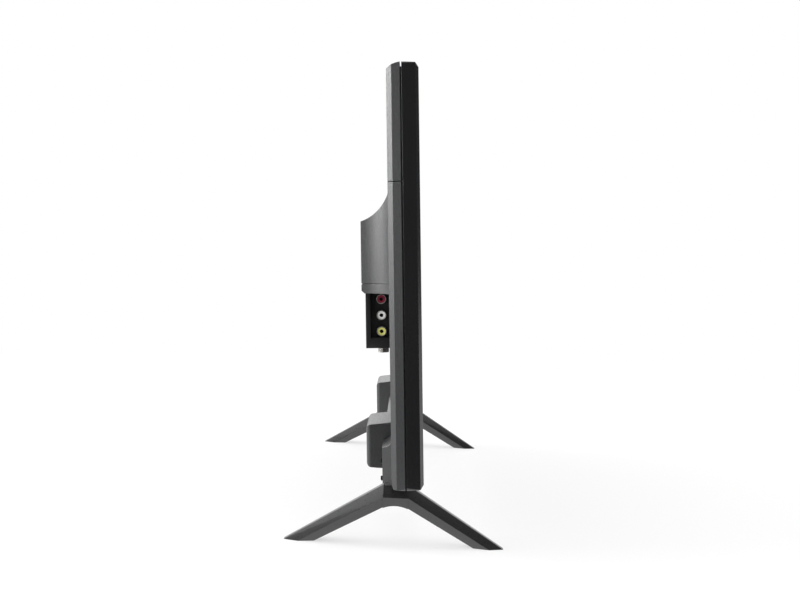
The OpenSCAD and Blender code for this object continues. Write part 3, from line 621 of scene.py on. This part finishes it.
class TELEVISION_OT_speakers(bpy.types.Operator):
    """Dress the speakers behind their slots"""

    bl_idname = "television.speakers"
    bl_label = "Speakers"

    def execute(self, context):
        finishes = context.scene.television_finishes
        coat(plated_metal("pressed_basket", finishes.zinc, (0.35, 0.5)), "speaker_frames")
        paper = moulded_plastic("pressed_paper", (0.018, 0.018, 0.018), 0.0005, 0.00005, (0.7, 0.85), 0.4, 0)
        coat(paper, "speaker_cones")
        ferrite = moulded_plastic("bare_ferrite", (0.06, 0.06, 0.062), 0.0007, 0.00004, (0.55, 0.7), 0.3)
        coat(ferrite, "speaker_magnets")
        return {"FINISHED"}


class TELEVISION_OT_keys(bpy.types.Operator):
    """Round the push keys' edges and give them their finish"""

    bl_idname = "television.keys"
    bl_label = "Push Keys"

    def execute(self, context):
        finishes, details = context.scene.television_finishes, context.scene.television_details
        satin = moulded_plastic("key_black", finishes.key, 0.0005, 0.00001, (0.3, 0.42), 0.2, 0)
        for key in KEYS:
            cap = key.replace("_key", "_cap")
            soft_edged(key, cap, details.key_edge, satin, key + "_body", 3)
        return {"FINISHED"}


class TELEVISION_OT_feet(bpy.types.Operator):
    """Round the feet's edges and give them their finish"""

    bl_idname = "television.feet"
    bl_label = "Feet"

    def execute(self, context):
        finishes, details = context.scene.television_finishes, context.scene.television_details
        gloss = moulded_plastic("foot_black", finishes.foot, 0.0009, 0.000012, (0.26, 0.36), 0.2, 0, 1.0)
        for side in ("left", "right"):
            foot = side + "_foot"
            soft_edged(foot, foot + "_moulding", details.foot_edge, gloss, segments=3, angle=14)
        return {"FINISHED"}


class TELEVISION_OT_fasteners(bpy.types.Operator):
    """Dress the screws and the threaded inserts of the wall mount"""

    bl_idname = "television.fasteners"
    bl_label = "Fasteners"

    def execute(self, context):
        finishes, details = context.scene.television_finishes, context.scene.television_details
        oxide = plated_metal("black_oxide", finishes.screw, (0.35, 0.5))
        coat(oxide, "cover_screws", "foot_screws")
        for node in ("cover_screws", "foot_screws"):
            work = bmesh.new()
            # A screw's mesh has five stretches: two crowns meet on its head and three lie inside it
            for middle, radius in stretch_tops(node):
                axis = PANEL @ Matrix.Translation(middle) @ Matrix.Rotation(-math.pi / 2, 4, "X")
                cross_head(work, axis, radius * 0.96, details.screw_crown)
            name = node.replace("screws", "screw_crowns")
            link(name, finished(work, name), oxide)
        coat(plated_metal("turned_brass", finishes.brass, (0.2, 0.34), 0.0002, (1, 0.05, 1)), "vesa_inserts")
        return {"FINISHED"}


class TELEVISION_OT_stage(bpy.types.Operator):
    """Set up the camera, the pale floor, the lamps and the white surroundings"""

    bl_idname = "television.stage"
    bl_label = "Stage"

    def execute(self, context):
        stage = context.scene.television_stage
        self.camera(context, stage)
        self.floor(context, stage)
        self.surroundings(context, stage)
        for name, place, aim, size, power in LAMPS:
            self.lamp(context, name, place, aim, size, getattr(stage, power))
        context.scene.view_settings.view_transform = "Standard"
        return {"FINISHED"}

    def camera(self, context, stage):
        data = bpy.data.cameras.new("camera")
        data.sensor_width = 36
        data.lens = stage.camera_lens
        data.clip_end = 100
        camera = bpy.data.objects.new("camera", data)
        context.scene.collection.objects.link(camera)
        aim = Vector(stage.camera_aim).normalized()
        turn = Quaternion(aim, stage.camera_roll) @ aim.to_track_quat("-Z", "Y")
        camera.matrix_world = Matrix.Translation(stage.camera_place) @ turn.to_matrix().to_4x4()
        context.scene.camera = camera

    def floor(self, context, stage):
        mesh = bpy.data.meshes.new("floor")
        work = bmesh.new()
        bmesh.ops.create_circle(work, cap_ends=True, radius=stage.floor_radius, segments=96)
        work.to_mesh(mesh)
        work.free()
        floor = bpy.data.objects.new("floor", mesh)
        context.scene.collection.objects.link(floor)
        material = bpy.data.materials.new("pale_floor")
        material.use_nodes = True
        tree = material.node_tree
        tree.nodes.clear()
        output = add_node(tree, "ShaderNodeOutputMaterial")
        paper = add_node(tree, "ShaderNodeBsdfDiffuse", Color=(0.42, 0.42, 0.42, 1))
        glow = add_node(tree, "ShaderNodeEmission", Color=(0.55, 0.55, 0.55, 1))
        both = add_node(tree, "ShaderNodeAddShader")
        tree.links.new(paper.outputs[0], both.inputs[0])
        tree.links.new(glow.outputs[0], both.inputs[1])
        distance = add_node(tree, "ShaderNodeVectorMath", {"operation": "LENGTH"})
        tree.links.new(place_on(tree), distance.inputs[0])
        fade = add_node(tree, "ShaderNodeMapRange", {"interpolation_type": "SMOOTHSTEP"},
                        From_Min=stage.floor_fade[0], From_Max=stage.floor_fade[1])
        tree.links.new(distance.outputs["Value"], fade.inputs["Value"])
        white = add_node(tree, "ShaderNodeEmission", Color=(1, 1, 1, 1))
        sheet = self.mixed(tree, fade.outputs["Result"], both.outputs[0], white.outputs[0])
        along = add_node(tree, "ShaderNodeSeparateXYZ")
        tree.links.new(place_on(tree), along.inputs[0])
        lit = add_node(tree, "ShaderNodeMapRange", {"interpolation_type": "SMOOTHSTEP"},
                       From_Min=FLOOR_LIT[0], From_Max=FLOOR_LIT[1], To_Min=stage.dark_side, To_Max=1.0)
        tree.links.new(along.outputs["X"], lit.inputs["Value"])
        mirrored = add_node(tree, "ShaderNodeEmission", Color=(1, 1, 1, 1))
        tree.links.new(lit.outputs["Result"], mirrored.inputs["Strength"])
        plain = add_node(tree, "ShaderNodeBsdfDiffuse", Color=(0.7, 0.7, 0.7, 1))
        path = add_node(tree, "ShaderNodeLightPath")
        near = self.mixed(tree, self.seen(tree, path), plain.outputs[0], sheet)
        surface = self.mixed(tree, path.outputs["Is Glossy Ray"], near, mirrored.outputs[0])
        tree.links.new(surface, output.inputs["Surface"])
        mesh.materials.append(material)

    def mixed(self, tree, factor, first, second):
        mix = add_node(tree, "ShaderNodeMixShader")
        tree.links.new(factor, mix.inputs[0])
        tree.links.new(first, mix.inputs[1])
        tree.links.new(second, mix.inputs[2])
        return mix.outputs[0]

    def seen(self, tree, path):
        """1 for rays by which the camera sees a surface, straight or through glass"""
        either = add_node(tree, "ShaderNodeMath", {"operation": "MAXIMUM"})
        tree.links.new(path.outputs["Is Camera Ray"], either.inputs[0])
        tree.links.new(path.outputs["Is Transmission Ray"], either.inputs[1])
        return either.outputs[0]

    def surroundings(self, context, stage):
        """White to the eye, and to a gloss save behind the camera and in front of the screen"""
        world = bpy.data.worlds.new("white_surroundings")
        world.use_nodes = True
        context.scene.world = world
        tree = world.node_tree
        tree.nodes.clear()
        output = add_node(tree, "ShaderNodeOutputWorld")
        path = add_node(tree, "ShaderNodeLightPath")
        white = add_node(tree, "ShaderNodeBackground", Strength=1.0, Color=(1, 1, 1, 1))
        room = add_node(tree, "ShaderNodeBackground", Strength=stage.room_level, Color=(1, 1, 1, 1))
        direction = add_node(tree, "ShaderNodeTexCoord")
        along = add_node(tree, "ShaderNodeVectorMath", {"operation": "DOT_PRODUCT"})
        along.inputs[1].default_value = stage.lit_side
        side = add_node(tree, "ShaderNodeMapRange", {"interpolation_type": "SMOOTHSTEP"},
                        From_Min=ROOM_LIT[0], From_Max=ROOM_LIT[1], To_Min=stage.dark_side, To_Max=1.0)
        glossy = add_node(tree, "ShaderNodeBackground", Color=(1, 1, 1, 1))
        tree.links.new(direction.outputs["Generated"], along.inputs[0])
        tree.links.new(along.outputs["Value"], side.inputs["Value"])
        tree.links.new(side.outputs["Result"], glossy.inputs["Strength"])
        lit = self.mixed(tree, self.seen(tree, path), room.outputs[0], white.outputs[0])
        surface = self.mixed(tree, path.outputs["Is Glossy Ray"], lit, glossy.outputs[0])
        tree.links.new(surface, output.inputs["Surface"])

    def lamp(self, context, name, place, aim, size, power):
        data = bpy.data.lights.new(name, "AREA")
        data.shape = "RECTANGLE"
        data.size, data.size_y = size
        data.energy = power
        lamp = bpy.data.objects.new(name, data)
        context.scene.collection.objects.link(lamp)
        lamp.location = place
        lamp.rotation_euler = (Vector(aim) - Vector(place)).to_track_quat("-Z", "Y").to_euler()


PIECE_OPERATORS = (
    TELEVISION_OT_covers, TELEVISION_OT_bezel, TELEVISION_OT_screen, TELEVISION_OT_electronics,
    TELEVISION_OT_terminals, TELEVISION_OT_speakers, TELEVISION_OT_keys, TELEVISION_OT_feet,
    TELEVISION_OT_fasteners, TELEVISION_OT_stage,
)


class TELEVISION_PT_panel(bpy.types.Panel):
    """Lists the television's sizes, colours and pieces"""

    bl_idname = "TELEVISION_PT_panel"
    bl_label = "Television"
    bl_space_type = "VIEW_3D"
    bl_region_type = "UI"
    bl_category = "Television"

    def draw(self, context):
        for group in ("television_finishes", "television_details", "television_stage"):
            settings = getattr(context.scene, group)
            box = self.layout.box()
            for name in settings.bl_rna.properties.keys():
                if name not in ("name", "rna_type"):
                    box.prop(settings, name)
        for operator in PIECE_OPERATORS:
            self.layout.operator(operator.bl_idname)


CLASSES = (TelevisionFinishes, TelevisionDetails, TelevisionStage, *PIECE_OPERATORS, TELEVISION_PT_panel)


def register():
    for cls in CLASSES:
        bpy.utils.register_class(cls)
    bpy.types.Scene.television_finishes = PointerProperty(type=TelevisionFinishes)
    bpy.types.Scene.television_details = PointerProperty(type=TelevisionDetails)
    bpy.types.Scene.television_stage = PointerProperty(type=TelevisionStage)


def unregister():
    del bpy.types.Scene.television_stage
    del bpy.types.Scene.television_details
    del bpy.types.Scene.television_finishes
    for cls in reversed(CLASSES):
        bpy.utils.unregister_class(cls)


def main():
    register()
    bpy.ops.television.covers()
    bpy.ops.television.bezel()
    bpy.ops.television.screen()
    bpy.ops.television.electronics()
    bpy.ops.television.terminals()
    bpy.ops.television.speakers()
    bpy.ops.television.keys()
    bpy.ops.television.feet()
    bpy.ops.television.fasteners()
    bpy.ops.television.stage()


if __name__ == "__main__":
    main()
